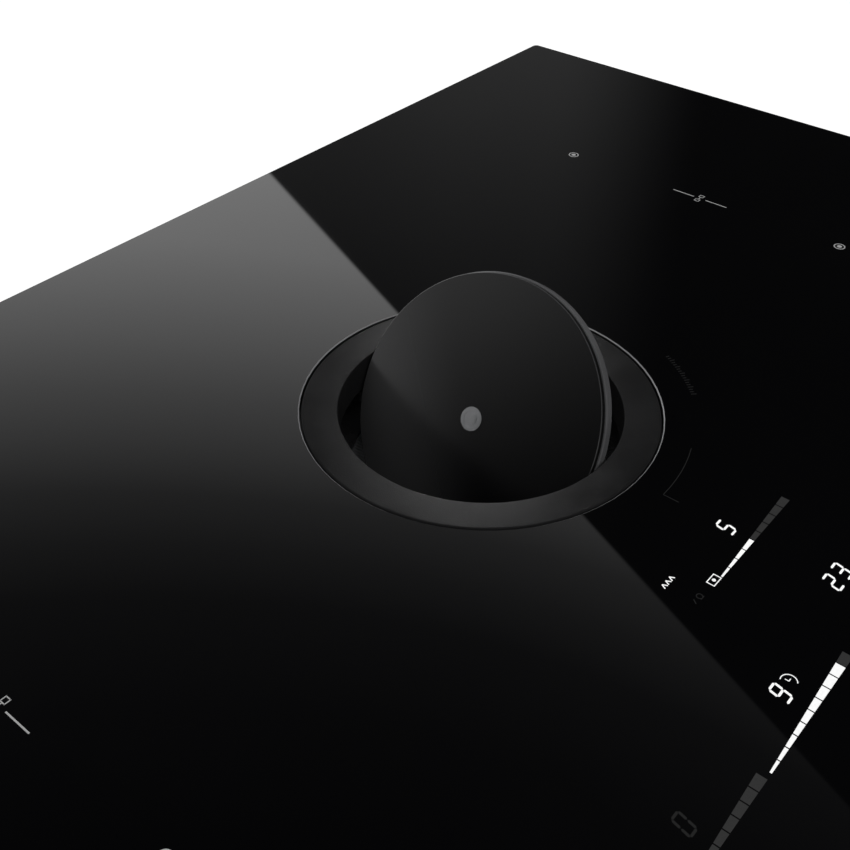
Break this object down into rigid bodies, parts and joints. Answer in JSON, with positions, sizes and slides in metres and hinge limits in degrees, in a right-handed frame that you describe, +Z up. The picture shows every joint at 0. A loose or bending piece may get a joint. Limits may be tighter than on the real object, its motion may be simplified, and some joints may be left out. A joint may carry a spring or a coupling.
{
  "type": "downdraft induction cooktop",
  "caption": "Built-in induction cooktop with a central downdraft extractor: black glass, round trim ring, motorised tilting flap, lift-out grease filter, blower and rear duct spigot.",
  "frame": {"origin": "centre of the bounding box's base, on the plane the plenum and blower stand on", "axes": "+Z up out of the glass, +Y towards the back of the worktop, +X to the cook's right"},
  "size_m": [0.83, 0.52, 0.2633],
  "materials": {
    "black_glass": "polished",
    "foam": "matte",
    "silicone": "matte",
    "ring_black": "matte",
    "black_plastic": "matte",
    "grey_plastic": "satin",
    "white_plastic": "satin",
    "bush_plastic": "satin",
    "bright_metal": "polished",
    "steel": "satin",
    "spring_steel": "satin",
    "zinc_steel": "satin",
    "mesh_metal": "satin",
    "alloy": "satin",
    "copper": "satin",
    "mica": "matte",
    "ferrite": "matte",
    "board_green": "satin"
  },
  "bodies": {
    "hob": {"glass_top": "black_glass", "glass_rim_seal": "foam", "pan_bond": "silicone", "throat_collar": "black_plastic", "collar_gasket": "silicone", "flap_motor": "black_plastic", "flap_motor_screws": "steel", "base_pan": "zinc_steel", "worktop_clips": "spring_steel", "coil_windings": "copper", "mica_sheets": "mica", "coil_carriers": "black_plastic", "ferrite_bars": "ferrite", "coil_sensors": "bush_plastic", "coil_plates": "alloy", "power_boards": "board_green", "heatsinks": "alloy", "board_components": "black_plastic", "cooling_fan_frames": "black_plastic", "control_tray": "black_plastic", "control_board": "board_green", "display_modules": "white_plastic", "touch_pads": "silicone", "cable_gland": "black_plastic", "terminal_block": "white_plastic", "plenum_lid": "black_plastic", "pan_gasket": "foam", "plenum_tub": "black_plastic", "pan_screws": "steel", "blower_shell_inner": "black_plastic", "blower_shell_outer": "black_plastic", "blower_screws": "steel", "inlet_ring": "grey_plastic", "fan_motor": "zinc_steel", "fan_motor_grommets": "silicone", "fan_motor_screws": "steel", "blower_hanger": "zinc_steel", "outlet_duct": "black_plastic"},
    "ring_carrier": {"ring_trim": "ring_black", "ring_seal": "silicone", "pivot_bushes": "bush_plastic"},
    "flap": {"flap_glass": "black_glass", "flap_badge": "bright_metal", "flap_bond": "silicone", "flap_frame": "grey_plastic", "flap_axles": "steel", "flap_sector_gear": "bush_plastic"},
    "pinion": {"drive_pinion": "bush_plastic"},
    "grease_filter": {"filter_basket": "steel", "filter_floor": "mesh_metal", "filter_sleeve": "mesh_metal"},
    "bowl": {"drip_bowl": "grey_plastic"},
    "blower_wheel": {"impeller": "black_plastic", "impeller_blades": "black_plastic", "fan_shaft": "steel", "impeller_nut": "steel"},
    "left_rotor": {"cooling_rotor_left": "black_plastic"},
    "right_rotor": {"cooling_rotor_right": "black_plastic"},
    "upper_damper": {"damper_upper": "grey_plastic"},
    "lower_damper": {"damper_lower": "grey_plastic"}
  },
  "joints": [
    {"name": "ring_lift", "type": "slide", "parent": "hob", "child": "ring_carrier", "axis": [0, 0, 1], "range_m": [0, 0.24]},
    {"name": "flap_tilt", "type": "hinge", "parent": "ring_carrier", "child": "flap", "pos_m": [0, -0.0055, 0.1998], "axis": [0, 1, 0], "range_deg": [0, 57.8]},
    {"name": "pinion_turn", "type": "hinge", "parent": "hob", "child": "pinion", "pos_m": [0, -0.0055, 0.1788], "axis": [0, 1, 0], "range_deg": [-115.6, 0]},
    {"name": "filter_lift", "type": "slide", "parent": "hob", "child": "grease_filter", "axis": [0, 0, 1], "range_m": [0, 0.192]},
    {"name": "bowl_lift", "type": "slide", "parent": "hob", "child": "bowl", "axis": [0, 0, 1], "range_m": [0, 0.24]},
    {"name": "blower_spin", "type": "hinge", "parent": "hob", "child": "blower_wheel", "pos_m": [0.095, -0.025, 0.075], "axis": [1, 0, 0], "continuous": true},
    {"name": "left_fan_spin", "type": "hinge", "parent": "hob", "child": "left_rotor", "pos_m": [-0.263, 0.11, 0.165], "axis": [0, 0, 1], "continuous": true},
    {"name": "right_fan_spin", "type": "hinge", "parent": "hob", "child": "right_rotor", "pos_m": [0.263, 0.11, 0.165], "axis": [0, 0, 1], "continuous": true},
    {"name": "upper_damper_swing", "type": "hinge", "parent": "hob", "child": "upper_damper", "pos_m": [0.14, 0.209, 0.0847], "axis": [1, 0, 0], "range_deg": [0, 70]},
    {"name": "lower_damper_swing", "type": "hinge", "parent": "hob", "child": "lower_damper", "pos_m": [0.14, 0.209, 0.0422], "axis": [1, 0, 0], "range_deg": [0, 70]}
  ],
  "couplings": [
    {"joint": "pinion_turn", "follows": "flap_tilt", "ratio": -2},
    {"joint": "filter_lift", "follows": "ring_lift", "ratio": 0.8},
    {"joint": "bowl_lift", "follows": "ring_lift", "ratio": 1}
  ]
}
